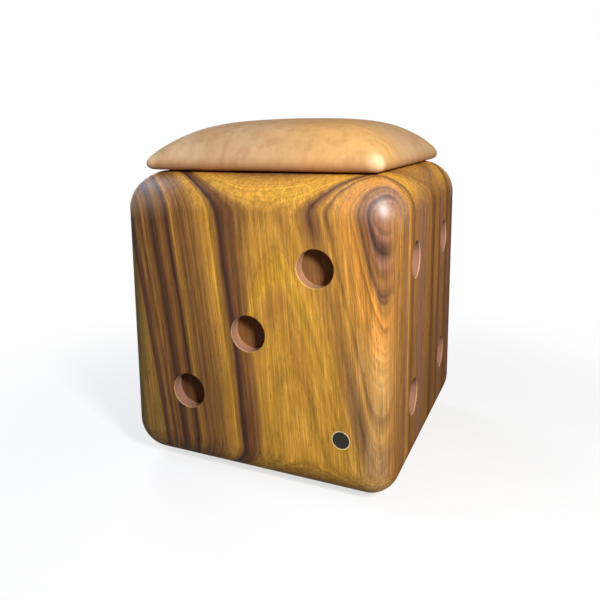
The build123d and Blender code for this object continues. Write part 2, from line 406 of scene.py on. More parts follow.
def log_rings_group():
    """Growth rings, fibres and pores of a log whose middle line is the Z axis."""
    tree = Group("log_rings", "ShaderNodeTree", place=VECTOR, grain=VECTOR, wander=0.003,
                 fineness=1.0)
    place, grain, wander, fineness = tree.given
    slow = tree.noise(place * (1, 1, 0.3), 9.0) - 0.5
    quick = tree.noise(place * (1, 1, 0.09), 60.0) - 0.5
    radius = (place * (1, 1, 0)).length() + (slow + quick * 0.35) * wander
    fine = tree.toned(grain * (1, 1, 0.022), fineness)
    short = tree.noise(grain * (1, 1, 0.07), 1150.0, 1.0)
    tree.give(FLOAT, radius=radius,
              growth=tree.noise(radius, 420.0, 4.0, 0.62),
              fibre=tree.noise(fine, 620.0, 3.0, 0.6),
              streak=tree.noise(fine, 210.0, 3.0, 0.62),
              pores=short.fit(0.63, 0.74),
              figure=tree.noise(grain * (1, 1, 0.55), 75.0, 3.0, 0.6, 0.4))


def wear_group():
    """Cloudy handling marks and fine scratches for hard surfaces."""
    tree = Group("wear", "ShaderNodeTree", place=VECTOR, scale=60.0)
    place, scale = tree.given
    lines = tree.noise(place * (1, 0.08, 1), scale * 22.0)
    tree.give(FLOAT, clouds=tree.noise(place, scale, 4.0), scratches=lines.fit(0.56, 0.7))


def fibre_mat_group():
    """Tangled fibres, laid in three directions."""
    tree = Group("fibre_mat", "ShaderNodeTree", place=VECTOR, scale=900.0)
    place, scale = tree.given
    first, second, third = [tree.noise(place * stretch, scale, distortion=0.8)
                            for stretch in ((1, 0.12, 0.6), (0.12, 1, 0.6), (0.5, 0.6, 0.14))]
    tree.give(FLOAT, fibres=first.most(second).most(third).fit(0.45, 0.78),
              clumps=tree.noise(place, scale * 0.1, 3.0))


# Timber of the block, as a solid log that every face and edge cuts

# Rings from the pith outwards, in millimetres, as seen to the left of the pith
LEFT_RINGS = (
    (168, "tan"), (180, "honey"), (190, "golden"), (199, "golden"), (203, "tan"),
    (206, "brown"), (208.5, "brown"), (210, "umber"), (212, "dark"), (213.8, "tan"),
    (217, "golden"), (222, "honey"), (227, "tan"), (233, "tan"), (236, "brown"),
    (238, "tan"), (240.5, "brown"), (243.5, "tan"), (246, "honey"), (249, "brown"),
    (251, "dark"), (254, "brown"), (258, "tan"), (261, "brown"), (266.5, "dark"),
    (270, "brown"), (275, "tan"), (279, "brown"), (283, "tan"), (286.5, "umber"),
    (290, "brown"), (294, "olive"),
)

# The same log to the right of the pith, clearer and warmer
RIGHT_RINGS = (
    (150, "honey"), (168, "tan"), (180, "honey"), (192, "golden"), (203, "golden"),
    (206.5, "tan"), (209, "umber"), (211.5, "tan"), (214, "honey"), (216.5, "brown"),
    (219, "honey"), (226, "amber"), (231, "amber"), (234, "tan"), (235.5, "umber"),
    (237, "tan"), (239, "brown"), (240.5, "rose"), (242, "dark"), (243.3, "umber"),
    (244.5, "rose"), (246, "brown"), (248, "rose"), (250, "brown"), (252, "rose"),
    (258, "brown"), (264, "rose"), (272, "brown"), (282, "tan"), (300, "olive"),
)

# Flatter, browner bands of the right face, in millimetres from front to back; the browner tone is
# partly the wood's own and partly painted shade on that side
SIDE_BANDS = (
    (-215, "amber"), (-186, "tan"), (-163, "tan"), (-152, "rose"), (-140, "honey"),
    (-130, "tan"), (-118, "brown"), (-104, "tan"), (-60, "rose"), (-20, "tan"), (-2, "tan"),
    (8, "brown"), (18, "brown"), (30, "tan"), (46, "tan"), (58, "brown"), (70, "rose"),
    (96, "tan"), (118, "brown"), (140, "rose"), (165, "brown"), (215, "tan"),
)


def ring_colours(look, radius, rings, settings):
    """The colours of a table of rings at a radius."""
    low, high = rings[0][0], rings[-1][0]
    stops = [((place - low) / (high - low), getattr(settings, name)) for place, name in rings]
    return look.ramp(radius.fit(low * MM, high * MM, smooth=False), stops)


def heart_colour(look, rings, log, z, settings):
    """The log's rings on both sides of the pith, with those on the right faded to clear wood."""
    radius = rings["Radius"]
    left = ring_colours(look, radius, LEFT_RINGS, settings)
    right = ring_colours(look, radius, RIGHT_RINGS, settings)
    clear = look.ramp(radius.fit(200 * MM, 232 * MM, smooth=False), [
        (0.0, settings.golden), (0.4, settings.honey), (1.0, settings.amber)])
    within = radius.fit(230 * MM, 234 * MM, 1.0, 0.0)
    foot, head = z.fit(90 * MM, 280 * MM, 0.0, 0.62), z.fit(370 * MM, 320 * MM)
    right = look.blend(within * foot * head, right, clear)
    return look.blend(log.parts()[0].fit(0.0, 50 * MM), left, right)


def with_flame(look, spot, drift, colour, settings):
    """Add the flame of a flat cut to the front: a yellow arch over a browner core."""
    x, y, z = spot
    middle, top, waver = 42 * MM, 336 * MM, 16 * MM
    bend = 47.0
    across = x - middle
    inside = (top - z) - across * across * bend + (drift - 0.5) * waver
    here = y.fit(-140 * MM, -170 * MM) * abs(across).fit(40 * MM, 56 * MM, 1.0, 0.0)
    yellow = inside.fit(0.0, 14 * MM) * inside.fit(56 * MM, 34 * MM, 0.0, 0.5)
    core = inside.fit(36 * MM, 60 * MM) * inside.fit(150 * MM, 90 * MM, 0.0, 0.45)
    line = abs(inside).fit(0.0, 5 * MM, 0.2, 0.0)
    for share, tint in ((yellow, settings.flame), (core, settings.flame_core),
                        (line, settings.brown)):
        colour = look.blend(here * share, colour, tint)
    return colour


def timber_tone(look, rings, beside, level, drift):
    """The light and dark of growth, fibres and veins, by the log or by the right face's bands."""
    def of_face(first, second):
        return first + beside * (second - first)

    growth = of_face(rings["Growth"], look.noise(level, 420.0, 4.0, 0.62))
    veins = of_face(look.noise(rings["Radius"], 250.0, 3.0, 0.55),
                    look.noise(level, 210.0, 3.0, 0.55))
    outer = rings["Radius"].fit(208 * MM, 236 * MM, 0.15, 1.0)
    veins = veins.fit(0.55, 0.63) * outer * drift.fit(0.32, 0.6, 0.25, 1.0)
    tone = growth.fit(0.3, 0.72, 0.74, 1.16, smooth=False)
    for name, low, high in (("Fibre", 0.72, 1.24), ("Streak", 0.7, 1.2), ("Figure", 0.9, 1.08)):
        tone = tone * rings[name].fit(0.3, 0.7, low, high, smooth=False)
    return tone * veins.fit(0.0, 1.0, 1.0, 0.6, smooth=False)


def bored_mask(spot):
    """One in the pips and the well and nought outside, and the depth under the face."""
    low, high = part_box("cube_block")
    x, y = abs(spot[0]), abs(spot[1])
    z = abs(spot[2] - (low.z + high.z) / 2)
    depth = high.x - x.most(y)
    flat = high.x - 55 * MM
    soft = flat + 3 * MM
    inside = x.least(y).fit(flat, soft, 1.0, 0.0) * z.fit(flat, soft, 1.0, 0.0)
    return depth.fit(0.2 * MM, 1.4 * MM) * inside, depth


def handled_mask(spot):
    """One on the rim near its corners, where hands have polished it, and nought elsewhere."""
    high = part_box("cube_block")[1]
    beside, before = high.x - abs(spot[0]), high.y - abs(spot[1])
    ends = beside.fit(130 * MM, 35 * MM) * before.fit(70 * MM, 20 * MM)
    return (high.z - spot[2]).fit(78 * MM, 36 * MM) * ends


def timber_material(settings):
    """Satin, dark-striped timber."""
    look = Finish("oiled_timber", specular_ior_level=0.0, coat_roughness=0.48, coat_ior=1.75)
    spot = look.place.parts()
    x, y, z = spot
    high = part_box("cube_block")[1]
    inwards, below = high.x - x, high.z - z
    beside = inwards.fit(18 * MM, 1 * MM) * below.fit(3 * MM, 58 * MM)
    log = look.log(settings.pith_place, settings.pith_lean)
    upright = look.log(settings.pith_place, shaded(settings.pith_lean, 0.4))
    grain = look.add("ShaderNodeMix", {0: beside, 4: upright, 5: look.place}, out=1,
                     data_type="VECTOR")
    rings = look.use("log_rings", place=log, grain=grain, wander=settings.wander)
    drift = look.noise(look.place * (1, 1, 0.1), 42.0, 3.0, 0.6)
    level = y + (drift - 0.5) * (35 * MM)
    colour = heart_colour(look, rings, log, z, settings)
    colour = with_flame(look, spot, drift, colour, settings)
    # Painted sheen: paler, greyer colour low on the near vertical edge, where the light glances off
    # the rounding.
    painted_sheen = inwards.fit(70 * MM, 30 * MM) * z.fit(270 * MM, 150 * MM, 0.0, 0.55)
    colour = look.blend(painted_sheen * drift.fit(0.36, 0.58, 0.3, 1.0), colour, settings.painted_sheen)
    # The right face takes the side bands, whose browner tone is partly painted shade.
    colour = look.blend(beside, colour, ring_colours(look, level, SIDE_BANDS, settings))
    # Painted shade: the timber darker towards the bottom, where the light from above falls off.
    foot = z.fit(80 * MM, 280 * MM, 0.86, 1.0)
    tone = timber_tone(look, rings, beside, level, drift) * foot
    colour = look.blend(rings["Pores"] * 0.5, look.toned(colour, tone), settings.pore)
    # Painted shade in the pips: walls and floors take darker cut-wood colours, deepest on the
    # floors, on top of the cut wood's own browner tone.
    bored, depth = bored_mask(spot)
    floor = depth.fit(18.6 * MM, 19.4 * MM)
    cut = look.blend(floor, settings.bored_wall, settings.bored)
    colour = look.blend(bored * 0.82, colour, cut)
    # Painted highlight: a pale band along the top of the pip walls, at the softened rims.
    colour = look.blend(bored * depth.fit(1.4 * MM, 2.2 * MM, 0.6, 0.0), colour, settings.rim)
    dull = bored.most(beside * 0.7)
    shine = dull.fit(0.0, 1.0, settings.varnish, 0.0, smooth=False)
    rough = rings["Fibre"] * 0.12 + (settings.roughness - 0.06) + rings["Pores"] * 0.15
    return look.set(
        base_color=colour, roughness=rough,
        coat_weight=shine.most(handled_mask(spot) * settings.polish),
        normal=look.relief(rings["Fibre"] * 0.4 - rings["Pores"], 0.05 * MM, 0.5))


def batten_material(settings):
    """Planed beech, with its small brown flecks."""
    look = Finish("planed_beech")
    log = look.log((0.0, 0.0, 0.62), (math.radians(90), 0.0, math.radians(4)))
    rings = look.use("log_rings", place=log, grain=log, wander=4 * MM, fineness=0.8)
    growth = look.ramp(rings["Growth"], [(0.3, shaded(settings.beech, 0.72)),
                                         (0.62, settings.beech)])
    flecks = look.noise(look.place * (0.35, 0.35, 1), 620.0, 1.0).fit(0.64, 0.7)
    return look.set(base_color=look.blend(flecks * 0.5, growth, display(150, 98, 62)),
                    roughness=rings["Fibre"].fit(0.2, 0.8, 0.5, 0.66),
                    normal=look.relief(rings["Fibre"], 0.06 * MM, 0.5))


def plywood_material(settings):
    """Birch plywood: a ringed veneer on both faces, and plies that show on its edges."""
    look = Finish("birch_plywood")
    low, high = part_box("seat_board")
    log = look.log((0.03, 0.0, low.z - 0.16), (0.0, math.radians(88), 0.0))
    rings = look.use("log_rings", place=log, grain=log, wander=30 * MM, fineness=0.7)
    base = settings.plywood
    veneer = look.ramp(rings["Growth"], [(0.32, shaded(base, 0.8)), (0.6, base)])
    level = (look.place.parts()[2] - low.z) / (high.z - low.z)
    end_grain = look.reckon("FRACT", level * 3.5).above(0.5)
    speck = look.noise(look.place, 1600.0)
    edge = look.blend(end_grain, shaded(base, 0.92), shaded(base, 0.55))
    edge = look.blend(speck.fit(0.4, 0.7, 0.0, 0.35), edge, display(120, 84, 50))
    up = look.add("ShaderNodeNewGeometry", out="Normal").parts()[2]
    return look.set(base_color=look.blend(abs(up).fit(0.5, 0.9), edge, veneer),
                    roughness=speck.fit(0.2, 0.8, 0.55, 0.75),
                    normal=look.relief(rings["Fibre"], 0.08 * MM, 0.6))


# Materials of the seat

def leather_colour(look, patches, crease, settings):
    """Aniline leather: patchy and golden near one corner, with darker streaks; painted shade darkens
    the crown, the hem and a fold, and a painted highlight pales the corners.
    """
    low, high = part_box("leather_cover")
    place = look.place
    x, _, z = place.parts()
    deep_and_shade = settings.leather_deep_and_shade
    colour = look.blend(patches.fit(0.35, 0.68), settings.leather, settings.leather_pale)
    # Yellower and paler towards the near corner.
    corner = (high.x - 60 * MM, low.y + 50 * MM, low.z + 30 * MM)
    away = ((place - corner) * (0.8, 1, 1)).length()
    gold = away.fit(30 * MM, 120 * MM, 0.85, 0.0) * patches.fit(0.25, 0.6, 0.6, 1.0)
    colour = look.blend(gold, colour, settings.leather_gold)
    streaks = look.noise(place * (1, 1, 0.13), 62.0, 4.0, 0.6)
    # Painted shade: the crown darker on top and the hem darker along the roll's underside, as the
    # light falls on them.
    crown = z.fit(high.z - 22 * MM, high.z, 0.0, 0.42)
    hem = z.fit(low.z + 3 * MM, low.z + 22 * MM, 0.75, 0.0)
    for share in (streaks.fit(0.42, 0.78, 0.0, 0.42), crown, hem):
        colour = look.blend(share, colour, deep_and_shade)
    # Painted highlight: a pale patch on each corner of the pad, where it is pulled over.
    apart = abs(place) - (high.x - 8 * MM, high.y - 8 * MM, low.z + 12 * MM)
    pulled = apart.length().fit(2 * MM, 18 * MM, 0.7, 0.0)
    colour = look.blend(pulled, colour, settings.painted_corner_highlight)
    # Painted shade of a fold: a darker wavering line down the front, with no crease in the mesh.
    crooked = x + (patches - 0.5) * (30 * MM) + 50 * MM
    fold_shade = abs(crooked).fit(0.0, 7 * MM, 0.3, 0.0)
    colour = look.blend(fold_shade * z.fit(high.z - 4 * MM, low.z + 30 * MM), colour, deep_and_shade)
    mottle = look.noise(place, 130.0, 4.0, 0.65)
    colour = look.toned(colour, mottle.fit(0.3, 0.7, 0.93, 1.06, smooth=False))
    return look.blend(crease.fit(0.0, 1.0, 0.12, 0.0), colour, deep_and_shade)


def leather_material(settings):
    """Smooth aniline leather with a fine pebbled grain."""
    look = Finish("camel_leather", specular_ior_level=0.025)
    patches = look.noise(look.place * (1, 1, 0.6), 11.0, 3.0, 0.55, 0.3)
    pebble = look.cells(900.0, "SMOOTH_F1", Smoothness=0.4)
    crease = look.cells(330.0, "DISTANCE_TO_EDGE").fit(0.0, 0.09)
    pinholes = look.noise(look.place, 2600.0, 1.0).fit(0.66, 0.72)
    height = crease * 0.45 - pebble * 0.6 - pinholes * 0.4
    return look.set(base_color=leather_colour(look, patches, crease, settings),
                    roughness=patches.fit(0.3, 0.7, 0.64, 0.76),
                    normal=look.relief(height, 0.12 * MM, 0.55))


def foam_material(settings):
    """Open-celled foam."""
    look = Finish("cream_foam", subsurface_weight=0.15, subsurface_scale=4 * MM)
    cells = look.cells(1400.0)
    clouds = look.noise(look.place, 26.0, 3.0)
    colour = look.blend(clouds.fit(0.35, 0.7, 0.0, 0.5), settings.foam, display(222, 196, 140))
    colour = look.blend(cells.fit(0.0, 0.5, 0.35, 0.0), colour, display(186, 168, 120))
    return look.set(base_color=colour, roughness=clouds.fit(0.3, 0.7, 0.85, 0.95),
                    normal=look.relief(cells, 0.4 * MM, 0.8))


def fibre_material(name, colour, scale, depth, contrast, bond_scale=None):
    """A matted textile: batting or felt, or dust cloth that is pressed with bonded dots."""
    look = Finish(name, sheen_weight=0.25, sheen_roughness=0.6)
    mat = look.use("fibre_mat", place=look.place, scale=scale)
    dim = shaded(colour, contrast)
    tone = look.blend(mat["Fibres"], dim, colour)
    tone = look.blend(mat["Clumps"].fit(0.35, 0.7, 0.0, 0.3), tone, dim)
    height = mat["Fibres"]
    if bond_scale:
        dots = look.cells(bond_scale, Randomness=0.0)
        height = height * ((dots.fit(0.12, 0.3) + 1.0) * 0.5)
    return look.set(base_color=tone, roughness=mat["Clumps"].fit(0.3, 0.7, 0.8, 0.95),
                    normal=look.relief(height, depth, 0.8))


# Materials of the fittings

def metal_material(name, colour, low, high, scale):
    """Bare or plated metal with handling marks, between two roughnesses."""
    look = Finish(name, metallic=1.0)
    marks = look.use("wear", place=look.place, scale=scale)
    tone = look.blend(marks["Clouds"].fit(0.35, 0.7), colour, shaded(colour, 0.72))
    rough = marks["Scratches"] * 0.12 + marks["Clouds"].fit(0.3, 0.7, low, high)
    return look.set(base_color=tone, roughness=rough,
                    normal=look.relief(marks["Scratches"], 0.01 * MM, 0.4))


def disc_material(settings, centre):
    """Dark resin, faced on a lathe so that fine rings stay round its centre."""
    look = Finish("turned_resin", specular_ior_level=0.12)
    groove = 0.55 * MM
    reach = ((look.place - tuple(centre)) * (1, 0, 1)).length()
    grooves = look.reckon("SINE", reach * (math.tau / groove))
    marks = look.use("wear", place=look.place, scale=420.0)
    tone = look.blend(marks["Clouds"].fit(0.35, 0.7), settings.disc, shaded(settings.disc, 1.4))
    tone = look.blend(grooves.fit(-1.0, 1.0, 0.0, 0.35), tone, display(84, 78, 76))
    return look.set(base_color=tone, roughness=marks["Clouds"].fit(0.3, 0.7, 0.38, 0.52),
                    normal=look.relief(grooves, 0.03 * MM, 0.6))


def nylon_material(settings):
    """Moulded nylon, finely stippled and scuffed where it meets the floor."""
    look = Finish("moulded_nylon")
    marks = look.use("wear", place=look.place, scale=180.0)
    sole = look.place.parts()[2].fit(0.0, 1.6 * MM, 1.0, 0.0)
    scuff = sole * marks["Clouds"].fit(0.4, 0.62, 0.2, 0.9)
    return look.set(base_color=look.blend(scuff, settings.nylon, display(118, 104, 92)),
                    roughness=scuff.fit(0.0, 1.0, 0.42, 0.75),
                    normal=look.relief(look.noise(look.place, 2400.0), 0.05 * MM, 0.5))


# Pieces

def linked(name, data):
    """A new object of the scene from its mesh, lamp or camera."""
    thing = bpy.data.objects.new(name, data)
    bpy.context.scene.collection.objects.link(thing)
    return thing


def new_piece(name, mesh, material):
    """A piece of the scene, smooth and in one material."""
    piece = linked(name, mesh)
    mesh.materials.clear()
    mesh.materials.append(material)
    mesh.shade_smooth()
    return piece


def sharpen(piece, degrees=35):
    """Keep edges crisp where faces meet at more than an angle."""
    piece.data.shade_smooth()
    piece.data.set_sharp_from_angle(angle=math.radians(degrees))


def finish_node(name, material):
    """Give a carried-over node its material."""
    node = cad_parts[name]
    node.data.materials.clear()
    node.data.materials.append(material)


def settle(piece, body, slot, *nodes):
    """A finished piece rides on its body and stands for its nodes."""
    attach(piece, body)
    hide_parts(*nodes)


def keep_modified(piece):
    """Make what the modifiers show the piece's own mesh."""
    depsgraph = bpy.context.evaluated_depsgraph_get()
    shown = bpy.data.meshes.new_from_object(piece.evaluated_get(depsgraph),
                                            depsgraph=depsgraph)
    piece.modifiers.clear()
    piece.data = shown


def thicken(piece, thickness):
    """Give a sheet its wall, inwards from its outer face."""
    modifier = piece.modifiers.new("wall", "SOLIDIFY")
    modifier.thickness = thickness
    modifier.offset = -1.0
    modifier.use_even_offset = True


def mesh_from(form, name):
    """A mesh from a form that is then let go."""
    mesh = bpy.data.meshes.new(name)
    form.to_mesh(mesh)
    form.free()
    return mesh


def mesh_of(name, *sheets):
    """One mesh from sheets of points and faces, joined where they meet."""
    form = bmesh.new()
    for points, faces in sheets:
        corners = [form.verts.new(point) for point in points]
        for face in faces:
            form.faces.new([corners[index] for index in face])
    bmesh.ops.remove_doubles(form, verts=form.verts, dist=0.02 * MM)
    bmesh.ops.recalc_face_normals(form, faces=form.faces)
    return mesh_from(form, name)


def grid_faces(side):
    """The faces of a square grid whose points run along Y and then along X."""
    return [(i * side + j, (i + 1) * side + j, (i + 1) * side + j + 1, i * side + j + 1)
            for i in range(side - 1) for j in range(side - 1)]


def roughened(mesh, amount, scale, seed, keep):
    """Move the points of a mesh that are kept in and out by smooth noise."""
    offset = Vector((seed, 2 * seed, 3 * seed))
    moved = []
    for vertex in mesh.vertices:
        size = amount * keep(vertex.co)
        moved.append(vertex.co + vertex.normal * noise.noise(vertex.co * scale + offset) * size)
    for vertex, place in zip(mesh.vertices, moved):
        vertex.co = place


def node_centres(name):
    """The plan centres of a node's separate solids, found by joining its loose triangles."""
    form = bmesh.new()
    form.from_mesh(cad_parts[name].data)
    bmesh.ops.remove_doubles(form, verts=form.verts, dist=0.01 * MM)
    left, centres = set(form.verts), []
    while left:
        found, edge = set(), [left.pop()]
        while edge:
            vertex = edge.pop()
            found.add(vertex)
            for link in vertex.link_edges:
                other = link.other_vert(vertex)
                if other in left:
                    left.remove(other)
                    edge.append(other)
        spans = [[vertex.co[axis] for vertex in found] for axis in (0, 1)]
        centres.append(tuple(round((min(span) + max(span)) / 2, 5) for span in spans))
    form.free()
    return sorted(centres)


# Form of the pad

def arc_points(start, heading, radius, turn, step):
    """Points along an arc that turns to the left, after its start, and its end's heading."""
    count = max(2, math.ceil(abs(radius * turn) / step))
    centre = start + radius * Vector((-math.sin(heading), math.cos(heading)))
    points = []
    for index in range(1, count + 1):
        angle = heading + turn * index / count
        points.append(centre + radius * Vector((math.sin(angle), -math.cos(angle))))
    return points, heading + turn


def pad_side(settings, inset):
    """The pad's section from its foot over the roll and shoulder to the crown's middle."""
    low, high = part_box("leather_cover")
    first = settings.roll_turn
    second = first + settings.shoulder_turn
    across = high.x - settings.roll * (1 - math.cos(first))
    upward = high.z - low.z - settings.roll * (1 + math.sin(first))
    shoulder_rise = math.sin(second) - math.sin(first)
    crown_rise = 1 - math.sin(second)
    shoulder_run = math.cos(first) - math.cos(second)
    crown_run = math.cos(second)
    share = shoulder_run * crown_rise - shoulder_rise * crown_run
    shoulder = (across * crown_rise - upward * crown_run) / share
    crown = (upward * shoulder_run - across * shoulder_rise) / share
    points = [Vector((high.x - settings.roll, low.z + inset))]
    heading = 0.0
    for radius, turn in ((settings.roll, math.pi / 2 + first),
                         (shoulder, settings.shoulder_turn),
                         (crown, math.pi / 2 - second)):
        more, heading = arc_points(points[-1], heading, radius - inset, turn, 1 * MM)
        points += more
    return points


def spaced(points, step=None, count=None):
    """The same line with even steps of about a length, or with a number of steps."""
    lengths = [0.0]
    for before, after in zip(points, points[1:]):
        lengths.append(lengths[-1] + (after - before).length)
    count = count or max(2, round(lengths[-1] / step))
    even, index = [], 0
    for number in range(count + 1):
        target = lengths[-1] * number / count
        while index < len(points) - 2 and lengths[index + 1] < target:
            index += 1
        span = lengths[index + 1] - lengths[index] or 1.0
        even.append(points[index].lerp(points[index + 1], (target - lengths[index]) / span))
    return even


def ring_point(half, corner, along):
    """A point on one side of a rounded square, from corner to corner as along runs -1 to 1."""
    straight = half - corner
    reach = abs(along) * (straight + corner * math.pi / 4)
    if reach <= straight:
        x, y = half, reach
    else:
        angle = (reach - straight) / corner
        x = straight + corner * math.cos(angle)
        y = straight + corner * math.sin(angle)
    return x, math.copysign(y, along)


def square_sheet(settings, line):
    """A sheet of square rings that follows a line of half widths and heights from its middle.

    Returns its points and its faces. Its faces point upwards where the line runs outwards.
    """
    count = len(line) - 1
    widest = max(line, key=lambda point: point.x)
    points = []
    for a in range(-count, count + 1):
        for b in range(-count, count + 1):
            ring = max(abs(a), abs(b))
            half, height = line[ring]
            growth = settings.corner_growth if height > widest.y else 0.0
            corner = min(half, settings.corner + (widest.x - half) * growth)
            if ring == 0:
                points.append((0.0, 0.0, height))
            elif abs(a) >= abs(b):
                x, y = ring_point(half, corner, b / ring)
                points.append((math.copysign(x, a), y, height))
            else:
                y, x = ring_point(half, corner, a / ring)
                points.append((x, math.copysign(y, b), height))
    return points, grid_faces(2 * count + 1)


def shell_mesh(settings, name, outside, inside):
    """A closed shell between two sheets that share a rim."""
    points, faces = square_sheet(settings, outside)
    more, others = square_sheet(settings, inside)
    shift = len(points)
    side = 2 * (len(outside) - 1) + 1
    border = (list(range(side - 1))
              + [i * side + side - 1 for i in range(side - 1)]
              + [side * side - 1 - j for j in range(side - 1)]
              + [(side - 1 - i) * side for i in range(side - 1)])
    rim = [(a, b, b + shift, a + shift) for a, b in zip(border, border[1:] + border[:1])]
    faces = faces + [tuple(index + shift for index in face) for face in others] + rim
    return mesh_of(name, (points + more, faces))


def press_out(piece, settings, held_below):
    """Let the foam push out the leather, by cloth simulation, and keep the result."""
    start = [vertex.co.copy() for vertex in piece.data.vertices]
    pinned = piece.vertex_groups.new(name="held")
    pinned.add([i for i, place in enumerate(start) if place.z < held_below], 1.0, "REPLACE")
    cloth = piece.modifiers.new("cloth", "CLOTH")
    for name, value in (("quality", 6), ("mass", 0.3), ("tension_stiffness", 25),
                        ("compression_stiffness", 25), ("shear_stiffness", 12),
                        ("bending_stiffness", 3), ("use_pressure", True),
                        ("uniform_pressure_force", settings.pressure),
                        ("vertex_group_mass", "held")):
        setattr(cloth.settings, name, value)
    cloth.settings.effector_weights.gravity = 0
    cloth.collision_settings.use_collision = False
    frames = 20
    for number in range(1, frames + 1):
        bpy.context.scene.frame_set(number)
    depsgraph = bpy.context.evaluated_depsgraph_get()
    pressed = piece.evaluated_get(depsgraph).data
    normals = [vertex.normal.copy() for vertex in piece.data.vertices]
    low = min(place.z for place in start)
    high = max(place.z for place in start)
    for vertex, before, after, normal in zip(piece.data.vertices, start, pressed.vertices, normals):
        level = (before.z - low) / (high - low)
        most = settings.swell * 4 * level * (1 - level)
        move = min(max((after.co - before).dot(normal), 0.0), most)
        vertex.co = before + normal * move
    piece.modifiers.remove(cloth)
    bpy.context.scene.frame_set(1)


# Forms of the fittings

def lathe(name, outline, centre):
    """A body turned about the Y axis through a centre, from radii and depths towards -Y."""
    form = bmesh.new()
    segments = 96
    wheel = []
    for number in range(segments):
        angle = math.tau * number / segments
        wheel.append([form.verts.new((centre.x + radius * math.cos(angle), centre.y - depth,
                                      centre.z + radius * math.sin(angle)))
                      for radius, depth in outline])
    for spoke, following in zip(wheel, wheel[1:] + wheel[:1]):
        for index in range(len(outline)):
            after = (index + 1) % len(outline)
            form.faces.new((spoke[index], spoke[after], following[after], following[index]))
    bmesh.ops.remove_doubles(form, verts=form.verts, dist=0.001 * MM)
    bmesh.ops.dissolve_degenerate(form, edges=form.edges, dist=0.0005 * MM)
    bmesh.ops.recalc_face_normals(form, faces=form.faces)
    return mesh_from(form, name)


def felt_bar(name, low, high):
    """A soft-edged bar of felt, flat where it is pressed."""
    size = high - low
    form = bmesh.new()
    bmesh.ops.create_cube(form, size=1.0)
    for vertex in form.verts:
        vertex.co = Vector((low[i] + (vertex.co[i] + 0.5) * size[i] for i in range(3)))
    bmesh.ops.bevel(form, geom=form.edges[:], offset=0.7 * MM, segments=3, profile=0.5,
                    affect="EDGES")
    length = 0 if size.x > size.y else 1
    normal = [0.0, 0.0, 0.0]
    normal[length] = 1.0
    count = round(size[length] / (3 * MM))
    for index in range(1, count):
        place = list((low + high) / 2)
        place[length] = low[length] + size[length] * index / count
        bmesh.ops.bisect_plane(form, geom=form.verts[:] + form.edges[:] + form.faces[:],
                               plane_co=place, plane_no=normal)
    mesh = mesh_from(form, name)
    for vertex in mesh.vertices:
        place = vertex.co + noise.noise_vector(vertex.co * 260) * (0.2 * MM)
        vertex.co = Vector((min(max(place[i], low[i]), high[i]) for i in range(3)))
    return mesh


# Geometry Nodes for what repeats

def lifted(tree, form, height):
    """Move a form up by a height."""
    offset = tree.add("ShaderNodeCombineXYZ", {"Z": height})
    return tree.add("GeometryNodeTransform", {"Geometry": form, "Translation": offset})


def on_points(tree, points, form, material):
    """Stand a form on each point, turned as the point says, as one plain mesh."""
    turn = tree.add("GeometryNodeInputNamedAttribute", {"Name": "turn"}, out="Attribute",
                    data_type="FLOAT")
    rotation = tree.add("FunctionNodeEulerToRotation", {
        "Euler": tree.add("ShaderNodeCombineXYZ", {"Z": turn})})
    stood = tree.add("GeometryNodeInstanceOnPoints", {
        "Points": points, "Instance": form, "Rotation": rotation})
    real = tree.add("GeometryNodeRealizeInstances", {"Geometry": stood})
    return tree.add("GeometryNodeSetMaterial", {"Geometry": real, "Material": material})


def staple_tree():
    """Staples: a bent flat wire on every point, legs up."""
    tree = Group("staples", "GeometryNodeTree", points=GEOMETRY, crown=10 * MM, leg=7 * MM,
                 wire=0.7 * MM, material=MATERIAL)
    points, crown, leg, wire, material = tree.given
    loop = tree.add("GeometryNodeCurvePrimitiveQuadrilateral", {
        "Width": crown - wire, "Height": leg * 2.0})
    upright = tree.add("GeometryNodeTransform", {
        "Geometry": loop, "Rotation": Euler((math.pi / 2, 0, math.pi / 2))})
    bent = tree.add("GeometryNodeFilletCurve", {
        "Curve": lifted(tree, upright, leg - wire * 0.5), "Radius": wire, "Count": 4},
        mode="POLY")
    flat = tree.add("GeometryNodeCurvePrimitiveQuadrilateral", {
        "Width": wire, "Height": wire * 0.8})
    soft = tree.add("GeometryNodeFilletCurve", {
        "Curve": flat, "Radius": wire * 0.2, "Count": 2}, mode="POLY")
    body = tree.add("GeometryNodeCurveToMesh", {"Curve": bent, "Profile Curve": soft})
    height = tree.add("GeometryNodeInputPosition").parts()[2]
    legs = tree.add("GeometryNodeDeleteGeometry", {
        "Geometry": body, "Selection": height.above(leg * 0.999)})
    return tree.give(GEOMETRY, staples=on_points(tree, points, legs, material))


